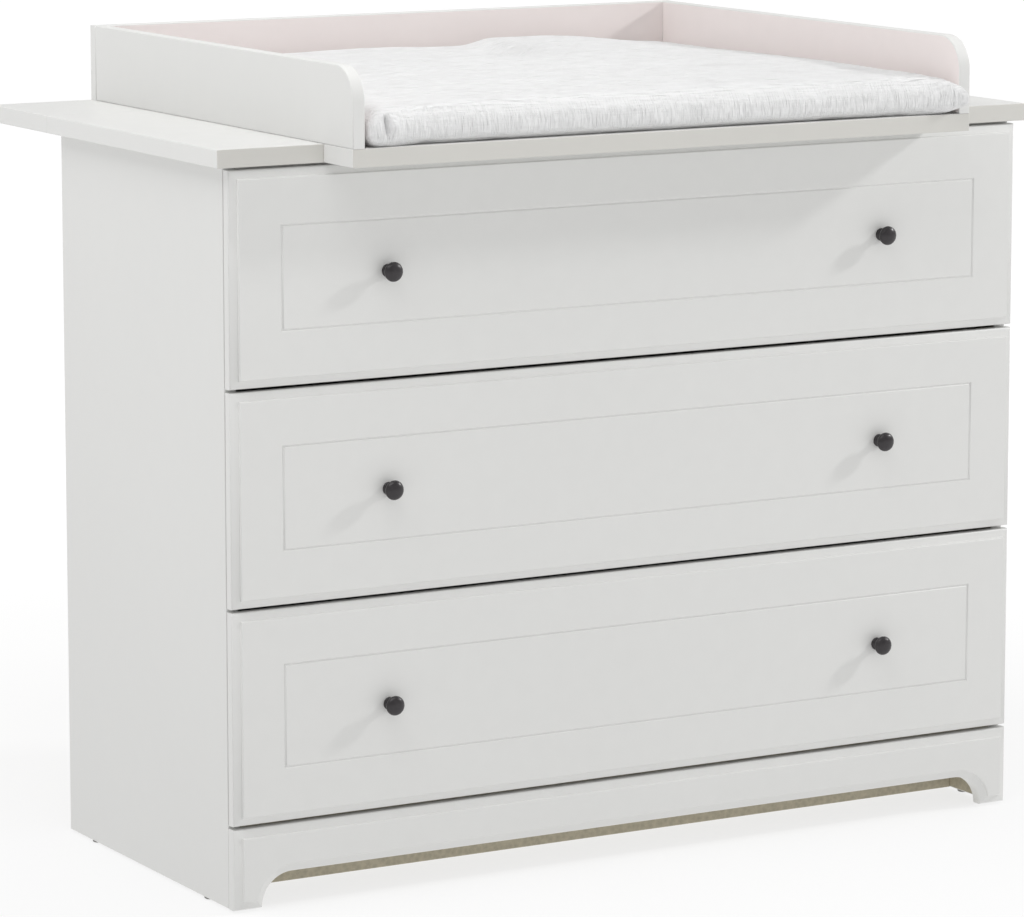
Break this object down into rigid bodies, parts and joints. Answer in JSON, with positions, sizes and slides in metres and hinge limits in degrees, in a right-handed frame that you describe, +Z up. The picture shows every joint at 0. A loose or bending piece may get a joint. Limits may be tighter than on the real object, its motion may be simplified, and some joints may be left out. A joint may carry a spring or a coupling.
{
  "type": "changing table",
  "caption": "Chest of drawers with moulded fronts, a three-sided changing tray on its top and a soft muslin-covered changing pad.",
  "frame": {"origin": "on the floor, under the centre of the object's bounding box", "axes": "+X along the width, +Z up; the drawers open towards -Y"},
  "size_m": [1.148, 0.72, 1.009],
  "materials": {
    "white_lacquer": "satin white lacquer on MDF",
    "rose_lacquer": "satin pale rose lacquer on MDF, white outside",
    "white_board": "matt white melamine board",
    "grey_board": "thin hardboard, matt",
    "black_knob": "satin near-black enamel",
    "runner_steel": "zinc-plated pressed steel",
    "glide_plastic": "matt plastic",
    "muslin": "crinkled white double-gauze cotton"
  },
  "bodies": {
    "cabinet": {"apron": "white_lacquer", "back_panel": "grey_board", "bottom_panel": "white_board", "cabinet_runner_lower_left": "runner_steel", "cabinet_runner_lower_right": "runner_steel", "cabinet_runner_middle_left": "runner_steel", "cabinet_runner_middle_right": "runner_steel", "cabinet_runner_upper_left": "runner_steel", "cabinet_runner_upper_right": "runner_steel", "front_extension": "white_lacquer", "glide_front_left": "glide_plastic", "glide_front_right": "glide_plastic", "glide_rear_left": "glide_plastic", "glide_rear_right": "glide_plastic", "middle_rail_1": "white_board", "middle_rail_2": "white_board", "plinth": "white_lacquer", "rear_extension": "white_lacquer", "rear_stop_batten": "white_board", "side_panel_left": "white_lacquer", "side_panel_right": "white_lacquer", "top_plate": "white_lacquer", "top_rail_front": "white_board", "top_rail_rear": "white_board", "tray_wall_back": "rose_lacquer", "tray_wall_left": "rose_lacquer", "tray_wall_right": "rose_lacquer"},
    "drawer_upper": {"drawer_upper_back": "white_board", "drawer_upper_bottom": "white_board", "drawer_upper_front": "white_lacquer", "drawer_upper_knob_left": "black_knob", "drawer_upper_knob_right": "black_knob", "drawer_upper_runner_left": "runner_steel", "drawer_upper_runner_right": "runner_steel", "drawer_upper_side_left": "white_board", "drawer_upper_side_right": "white_board"},
    "drawer_middle": {"drawer_middle_back": "white_board", "drawer_middle_bottom": "white_board", "drawer_middle_front": "white_lacquer", "drawer_middle_knob_left": "black_knob", "drawer_middle_knob_right": "black_knob", "drawer_middle_runner_left": "runner_steel", "drawer_middle_runner_right": "runner_steel", "drawer_middle_side_left": "white_board", "drawer_middle_side_right": "white_board"},
    "drawer_lower": {"drawer_lower_back": "white_board", "drawer_lower_bottom": "white_board", "drawer_lower_front": "white_lacquer", "drawer_lower_knob_left": "black_knob", "drawer_lower_knob_right": "black_knob", "drawer_lower_runner_left": "runner_steel", "drawer_lower_runner_right": "runner_steel", "drawer_lower_side_left": "white_board", "drawer_lower_side_right": "white_board"},
    "pad": {"pad": "muslin"}
  },
  "joints": [
    {"name": "drawer_upper_slide", "type": "slide", "parent": "cabinet", "child": "drawer_upper", "axis": [0, -1, 0], "range_m": [0, 0.3]},
    {"name": "drawer_middle_slide", "type": "slide", "parent": "cabinet", "child": "drawer_middle", "axis": [0, -1, 0], "range_m": [0, 0.3]},
    {"name": "drawer_lower_slide", "type": "slide", "parent": "cabinet", "child": "drawer_lower", "axis": [0, -1, 0], "range_m": [0, 0.3]},
    {"name": "pad_lift", "type": "slide", "parent": "cabinet", "child": "pad", "axis": [0, 0, 1], "range_m": [0, 0.2]}
  ]
}
